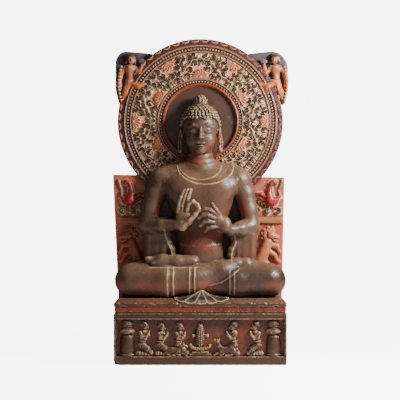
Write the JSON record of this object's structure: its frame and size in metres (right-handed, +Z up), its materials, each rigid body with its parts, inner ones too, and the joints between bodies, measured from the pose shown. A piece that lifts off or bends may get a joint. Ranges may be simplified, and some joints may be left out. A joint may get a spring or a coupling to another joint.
{
  "type": "stone relief panel",
  "caption": "Standing carved relief panel: a cross-legged teacher before a round halo, on a plinth with a frieze of kneeling figures.",
  "frame": {"origin": "centre of the underside of the plinth", "axes": "+Z up, -Y towards the viewer (the carved front), +X to the viewer's right"},
  "size_m": [0.498, 0.17, 0.9061],
  "materials": {
    "painted_stone": "cast stone with a dark brown wash over red-orange paint, rubbed tan on the raised parts; satin sheen"
  },
  "bodies": {
    "root": {"relief_panel": "painted_stone"}
  },
  "joints": []
}
